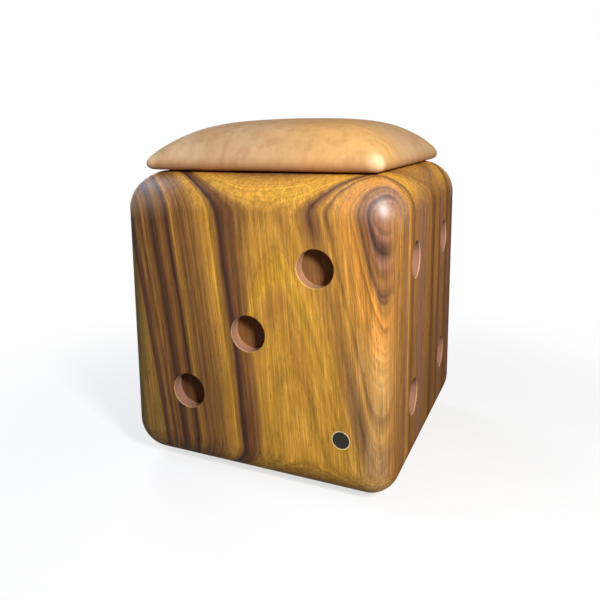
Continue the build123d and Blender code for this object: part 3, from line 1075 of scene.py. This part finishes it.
def screw_tree():
    """Countersunk wood screws with a cross recess and a thread, heads down."""
    tree = Group("screws", "GeometryNodeTree", points=GEOMETRY, length=30 * MM, head=7.6 * MM,
                 head_height=2.4 * MM, shank=3 * MM, thread=3.8 * MM, pitch=1.8 * MM,
                 material=MATERIAL)
    points, length, head, head_height, shank, thread, pitch, material = tree.given
    core = shank * 0.5
    straight = length - shank - head_height

    def cone(bottom, top, depth, vertices, segments=1):
        return tree.add("GeometryNodeMeshCone", {
            "Vertices": vertices, "Side Segments": segments, "Radius Top": top,
            "Radius Bottom": bottom, "Depth": depth})

    recess = tree.node("GeometryNodeMeshBoolean", {
        "Mesh 1": cone(head * 0.5, core, head_height, 40, 3)},
        operation="DIFFERENCE", solver="EXACT")
    for turn in (0, math.pi / 2):
        blade = tree.add("GeometryNodeMeshCube", {"Size": tree.add("ShaderNodeCombineXYZ", {
            "X": head * 0.55, "Y": head * 0.12, "Z": head_height * 1.16})})
        tree.put(recess.inputs["Mesh 2"], tree.add("GeometryNodeTransform", {
            "Geometry": blade, "Rotation": Euler((0, 0, turn))}))
    helix = tree.add("GeometryNodeCurveSpiral", {
        "Resolution": 14, "Rotations": straight / pitch, "Start Radius": core,
        "End Radius": core, "Height": straight})
    ridge = tree.add("GeometryNodeCurvePrimitiveCircle", {
        "Resolution": 3, "Radius": (thread - shank) * 0.5})
    winding = tree.add("GeometryNodeCurveToMesh", {
        "Curve": helix, "Profile Curve": ridge, "Fill Caps": True})
    whole = tree.node("GeometryNodeJoinGeometry")
    for part in (Signal(tree, recess.outputs["Mesh"]),
                 lifted(tree, cone(core, core, straight, 24), head_height),
                 lifted(tree, cone(core, 0.1 * MM, shank, 24), head_height + straight),
                 lifted(tree, winding, head_height)):
        tree.put(whole.inputs[0], part)
    return tree.give(GEOMETRY, screws=on_points(tree, points, Signal(tree, whole.outputs[0]),
                                                material))


def grow(name, places, turns, tree, material, **sizes):
    """Run a Geometry Nodes tree on loose points, each with a turn, and keep the plain mesh."""
    mesh = bpy.data.meshes.new(name)
    mesh.from_pydata(places, [], [])
    mesh.attributes.new("turn", "FLOAT", "POINT").data.foreach_set("value", turns)
    piece = linked(name, mesh)
    modifier = piece.modifiers.new("form", "NODES")
    modifier.node_group = tree
    named = {item.name: item.identifier for item in tree.interface.items_tree
             if item.item_type == "SOCKET" and item.in_out == "INPUT"}
    modifier[named["Material"]] = material
    for size, value in sizes.items():
        modifier[named[socket_name(size)]] = value
    keep_modified(piece)
    return piece


# Operators

class OTTOMAN_OT_block(bpy.types.Operator):
    """Finish the block in oiled timber"""
    bl_idname = "ottoman.block"
    bl_label = "Timber Block"

    def execute(self, context):
        finish_node("cube_block", timber_material(context.scene.ottoman_timber))
        return {"FINISHED"}


class OTTOMAN_OT_inlay(bpy.types.Operator):
    """Turn the inlay's brass ring and its plain dark disc"""
    bl_idname = "ottoman.inlay"
    bl_label = "Round Inlay"

    def execute(self, context):
        settings = context.scene.ottoman_hardware
        low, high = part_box("medallion_ring")
        disc_low, disc_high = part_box("medallion_disc")
        centre = Vector(((low.x + high.x) / 2, high.y, (low.z + high.z) / 2))
        outer, depth = (high.x - low.x) / 2, high.y - low.y
        inner, face = (disc_high.x - disc_low.x) / 2, disc_high.y - disc_low.y
        bore, ease, dish = inner + 0.05 * MM, 0.35 * MM, 0.25 * MM
        floor, steps = face - dish, 4
        ring_line = [(bore, 0.0), (outer, 0.0), (outer, depth - ease)]
        for step in range(1, steps + 1):
            angle = math.pi / 2 * step / steps
            ring_line.append((outer - ease + ease * math.cos(angle),
                              depth - ease + ease * math.sin(angle)))
        ring_line += [(bore + ease, depth), (bore + ease * 0.3, depth - ease * 0.3),
                      (bore, depth - ease)]
        disc_line = [(0.0, 0.0), (inner, 0.0), (inner, floor), (inner - dish, face),
                     (inner * 0.86, face)]
        disc_line += [(inner * share, floor) for share in (0.83, 0.8, 0.4, 0.0)]
        brass = metal_material("pale_brass", settings.brass, 0.22, 0.4, 260.0)
        resin = disc_material(settings, centre)
        for kind, line, material in (("ring", ring_line, brass), ("disc", disc_line, resin)):
            name = f"inlay_{kind}"
            piece = new_piece(name, lathe(name, line, centre), material)
            sharpen(piece)
            settle(piece, "cube", name, f"medallion_{kind}")
        return {"FINISHED"}


class OTTOMAN_OT_glides(bpy.types.Operator):
    """Finish the four floor glides in moulded nylon"""
    bl_idname = "ottoman.glides"
    bl_label = "Floor Glides"

    def execute(self, context):
        material = nylon_material(context.scene.ottoman_hardware)
        for depth in ("front", "back"):
            for width in ("left", "right"):
                finish_node(f"floor_glide_{depth}_{width}", material)
        return {"FINISHED"}


class OTTOMAN_OT_screws(bpy.types.Operator):
    """Drive the glides' and the battens' screws"""
    bl_idname = "ottoman.screws"
    bl_label = "Wood Screws"

    def execute(self, context):
        settings = context.scene.ottoman_hardware
        steel = metal_material("zinc_steel", settings.steel, 0.24, 0.42, 320.0)
        tree = screw_tree()
        for name, body in (("glide_screws", "cube"), ("batten_screws", "seat")):
            places = node_centres(name)
            low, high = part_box(name)
            piece = grow(f"{name}_threaded", [(x, y, low.z) for x, y in places],
                         [0.5 * index for index in range(len(places))], tree, steel,
                         length=high.z - low.z, head=settings.screw_head,
                         head_height=settings.screw_head_height, shank=settings.screw_shank,
                         thread=settings.thread_diameter, pitch=settings.thread_pitch)
            sharpen(piece)
            settle(piece, body, "screw", name)
        return {"FINISHED"}


class OTTOMAN_OT_staples(bpy.types.Operator):
    """Staple the leather's hem to the board"""
    bl_idname = "ottoman.staples"
    bl_label = "Hem Staples"

    def execute(self, context):
        settings = context.scene.ottoman_hardware
        steel = metal_material("bright_wire", settings.steel, 0.2, 0.34, 500.0)
        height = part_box("cover_staples")[0].z + settings.staple_wire / 2
        centres = node_centres("cover_staples")
        piece = grow("hem_staples", [(x, y, height) for x, y in centres],
                     [0.0 if abs(x) > abs(y) else math.pi / 2 for x, y in centres],
                     staple_tree(), steel, crown=settings.staple_crown,
                     leg=settings.staple_leg, wire=settings.staple_wire)
        sharpen(piece)
        settle(piece, "seat", "staple", "cover_staples")
        return {"FINISHED"}


class OTTOMAN_OT_board(bpy.types.Operator):
    """Finish the seat board and its battens"""
    bl_idname = "ottoman.board"
    bl_label = "Board and Battens"

    def execute(self, context):
        settings = context.scene.ottoman_hardware
        finish_node("seat_board", plywood_material(settings))
        beech = batten_material(settings)
        for side in SIDES:
            finish_node(f"batten_{side}", beech)
        return {"FINISHED"}


class OTTOMAN_OT_foam(bpy.types.Operator):
    """Cut the crowned foam and wrap it in batting"""
    bl_idname = "ottoman.foam"
    bl_label = "Foam and Batting"

    def execute(self, context):
        settings = context.scene.ottoman_seat
        board_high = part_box("seat_board")[1]
        wrap_inset = settings.leather_thickness + settings.clearance
        foam_inset = wrap_inset + settings.batting_thickness + settings.clearance

        def above_board(inset):
            return [point for point in pad_side(settings, inset) if point.y > board_high.z]

        above = above_board(foam_inset)
        foot = Vector((above[0].x, board_high.z))
        crown = spaced([foot, *above], settings.mesh_step)[::-1]
        base = [Vector((foot.x * index / (len(crown) - 1), foot.y))
                for index in range(len(crown))]
        foam = new_piece("foam_core", mesh_of("foam_core", square_sheet(settings, crown),
                                              square_sheet(settings, base)),
                         foam_material(settings))
        roughened(foam.data, 0.25 * MM, 60.0, 3.0, lambda place: place.z > foot.y + MM)
        sharpen(foam, 50)
        settle(foam, "seat", "foam", "seat_foam")

        outside = spaced(pad_side(settings, wrap_inset), settings.mesh_step)[::-1]
        edge = board_high.x + settings.clearance
        lining = [Vector((edge, outside[-1].y)), Vector((edge, board_high.z)),
                  *above_board(foam_inset - settings.clearance)]
        inner = spaced(lining, settings.mesh_step)[::-1]
        inner = spaced(inner, count=len(outside) - 1)
        wrap = new_piece("batting_wrap", shell_mesh(settings, "batting_wrap", outside, inner),
                         fibre_material("white_batting", settings.batting, 700.0, 0.5 * MM,
                                        0.8))
        settle(wrap, "seat", "batting", "foam_wrap")
        return {"FINISHED"}


class OTTOMAN_OT_leather(bpy.types.Operator):
    """Pull the leather over the pad and turn it in under the board"""
    bl_idname = "ottoman.leather"
    bl_label = "Leather Cover"

    def execute(self, context):
        settings = context.scene.ottoman_seat
        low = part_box("leather_cover")[0]
        hem_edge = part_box("dust_cover")[1].x + settings.clearance
        line = [Vector((hem_edge, low.z)), *pad_side(settings, 0.0)]
        sheet = square_sheet(settings, spaced(line, settings.mesh_step)[::-1])
        cover = new_piece("leather_seat_cover", mesh_of("leather_seat_cover", sheet),
                          leather_material(settings))
        press_out(cover, settings, low.z + 0.6 * MM)
        smooth = cover.modifiers.new("smooth", "SUBSURF")
        smooth.levels = smooth.render_levels = 1
        thicken(cover, settings.leather_thickness)
        keep_modified(cover)
        cover.data.shade_smooth()
        settle(cover, "seat", "leather", "leather_cover")
        return {"FINISHED"}


class OTTOMAN_OT_dust_cloth(bpy.types.Operator):
    """Stretch the black cloth under the board"""
    bl_idname = "ottoman.dust_cloth"
    bl_label = "Dust Cloth"

    def execute(self, context):
        low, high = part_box("dust_cover")
        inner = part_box("batten_right")[0].x - 2 * MM
        cells, sag, ripple = 56, 1.6 * MM, 0.25 * MM
        points = []
        for a in range(cells + 1):
            for b in range(cells + 1):
                x = low.x + (high.x - low.x) * a / cells
                y = low.y + (high.y - low.y) * b / cells
                room = max(0.0, 1 - (x / inner) ** 2) * max(0.0, 1 - (y / inner) ** 2)
                wave = ripple * noise.noise(Vector((x, y, 0)) * 22)
                points.append((x, y, high.z - sag * room ** 0.8 + wave * room))
        cloth = new_piece("dust_cloth", mesh_of("dust_cloth", (points, grid_faces(cells + 1))),
                          fibre_material("dust_cloth", context.scene.ottoman_hardware.cloth,
                                         1500.0, 0.06 * MM, 0.55, bond_scale=520.0))
        thicken(cloth, high.z - low.z)
        keep_modified(cloth)
        settle(cloth, "seat", "dust_cloth", "dust_cover")
        return {"FINISHED"}


class OTTOMAN_OT_felt(bpy.types.Operator):
    """Lay the felt strips that the seat rests on"""
    bl_idname = "ottoman.felt"
    bl_label = "Felt Strips"

    def execute(self, context):
        felt = fibre_material("black_felt", context.scene.ottoman_hardware.felt, 1100.0,
                              0.3 * MM, 0.4)
        for side in SIDES:
            node = f"felt_strip_{side}"
            low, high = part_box(node)
            strip = new_piece(f"wool_{node}", felt_bar(node, low, high), felt)
            settle(strip, "seat", "felt", node)
        return {"FINISHED"}


class OTTOMAN_OT_stage(bpy.types.Operator):
    """Set up the floor, the camera and the lights"""
    bl_idname = "ottoman.stage"
    bl_label = "Studio"

    def execute(self, context):
        settings = context.scene.ottoman_stage
        build_floor(settings)
        build_sky(settings)
        build_camera(settings)
        for name, size, place, colour in LAMPS:
            lamp(f"{name}_lamp", getattr(settings, f"{name}_power"), size, place, colour)
        context.scene.view_settings.view_transform = "Standard"
        return {"FINISHED"}


# Stage

# The name of each lamp, its width and height, its place and its colour
LAMPS = (
    ("key", (0.2, 0.2), (0.84, -0.8, 0.8), (1.0, 0.97, 0.93)),
    ("fill", (1.0, 0.8), (-1.05, -1.3, 1.25), (0.82, 0.91, 1.0)),
    ("edge", (0.5, 0.5), (-0.95, -0.36, 1.3), (0.55, 0.74, 1.0)),
    ("back", (0.9, 0.9), (-1.5, 1.3, 0.75), (1.0, 0.98, 0.96)),
)
LAMP_AIM = Vector((0, 0, 0.24))


def build_floor(settings):
    """A wide pale floor that keeps the shadow and fades to white far away."""
    bpy.ops.mesh.primitive_grid_add(x_subdivisions=8, y_subdivisions=8, size=40)
    floor = bpy.context.object
    floor.name = "studio_floor"
    look = Finish("studio_floor", roughness=0.9, specular_ior_level=0.1)
    seen = look.seen()
    grain = look.noise(look.place, 40.0)
    pale = look.blend(grain.fit(0.3, 0.7), settings.floor, shaded(settings.floor, 0.985))
    look.set(base_color=look.blend(seen, shaded(settings.floor, 0.2), pale))
    far = look.place.length().fit(0.3, 0.85, 0.7, 1.0)
    white = look.add("ShaderNodeEmission", {"Color": (1, 1, 1, 1), "Strength": 1.0})
    mix = look.add("ShaderNodeMixShader", {
        "Fac": seen * far, 1: Signal(look, look.shader.outputs[0]), 2: white})
    look.put(look.tree.nodes["Material Output"].inputs["Surface"], mix)
    floor.data.materials.append(look.material)


def build_sky(settings):
    """Even light from all round, with a white background where it is seen."""
    world = bpy.data.worlds.new("studio_sky")
    bpy.context.scene.world = world
    world.use_nodes = True
    tree = Tree(world.node_tree)
    light = world.node_tree.nodes["Background"]
    tree.put(light.inputs["Color"], (1.0, 0.985, 0.965))
    tree.put(light.inputs["Strength"], settings.sky)
    white = tree.add("ShaderNodeBackground", {"Color": (1, 1, 1, 1), "Strength": 1.0})
    mix = tree.add("ShaderNodeMixShader", {
        "Fac": tree.seen(), 1: Signal(tree, light.outputs[0]), 2: white})
    tree.put(world.node_tree.nodes["World Output"].inputs["Surface"], mix)


def build_camera(settings):
    """The camera at the photograph's place and angle."""
    yaw, pitch, roll = settings.camera_yaw, settings.camera_pitch, settings.camera_roll
    ahead = Vector((-math.sin(yaw) * math.cos(pitch), math.cos(yaw) * math.cos(pitch),
                    math.sin(pitch)))
    right = Vector((math.cos(yaw), math.sin(yaw), 0.0))
    up = right.cross(ahead)
    level = math.cos(roll) * right + math.sin(roll) * up
    upright = -math.sin(roll) * right + math.cos(roll) * up
    data = bpy.data.cameras.new("camera")
    data.lens = settings.lens
    data.sensor_width = 36.0
    data.shift_x = settings.shift_x
    data.shift_y = settings.shift_y
    camera = linked("camera", data)
    turn = Matrix((level, upright, -ahead)).transposed()
    camera.matrix_world = Matrix.Translation(settings.camera_place) @ turn.to_4x4()
    bpy.context.scene.camera = camera


def lamp(name, power, size, place, colour):
    """A soft lamp that faces the middle of the ottoman."""
    data = bpy.data.lights.new(name, "AREA")
    data.energy = power
    data.shape = "RECTANGLE"
    data.size, data.size_y = size
    data.color = colour
    light = linked(name, data)
    light.location = place
    light.rotation_mode = "QUATERNION"
    light.rotation_quaternion = (LAMP_AIM - Vector(place)).to_track_quat("-Z", "Y")


# Add-on

class OTTOMAN_PT_build(bpy.types.Panel):
    """Steps that build the ottoman's looks"""
    bl_idname = "OTTOMAN_PT_build"
    bl_label = "Cube Ottoman"
    bl_space_type = "VIEW_3D"
    bl_region_type = "UI"
    bl_category = "Ottoman"

    def draw(self, context):
        for operator in STEPS:
            self.layout.operator(operator.bl_idname)


STEPS = (
    OTTOMAN_OT_block,
    OTTOMAN_OT_inlay,
    OTTOMAN_OT_glides,
    OTTOMAN_OT_board,
    OTTOMAN_OT_foam,
    OTTOMAN_OT_leather,
    OTTOMAN_OT_dust_cloth,
    OTTOMAN_OT_felt,
    OTTOMAN_OT_staples,
    OTTOMAN_OT_screws,
    OTTOMAN_OT_stage,
)
SETTINGS = {
    "ottoman_timber": OttomanTimber,
    "ottoman_seat": OttomanSeat,
    "ottoman_hardware": OttomanHardware,
    "ottoman_stage": OttomanStage,
}


def register():
    for group in (*SETTINGS.values(), *STEPS, OTTOMAN_PT_build):
        bpy.utils.register_class(group)
    for name, group in SETTINGS.items():
        setattr(bpy.types.Scene, name, PointerProperty(type=group))


def unregister():
    for name in SETTINGS:
        delattr(bpy.types.Scene, name)
    for group in (OTTOMAN_PT_build, *reversed(STEPS), *SETTINGS.values()):
        bpy.utils.unregister_class(group)


def main():
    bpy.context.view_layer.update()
    register()
    log_rings_group()
    wear_group()
    fibre_mat_group()
    for step in STEPS:
        group, name = step.bl_idname.split(".")
        getattr(getattr(bpy.ops, group), name)()


if __name__ == "__main__":
    main()
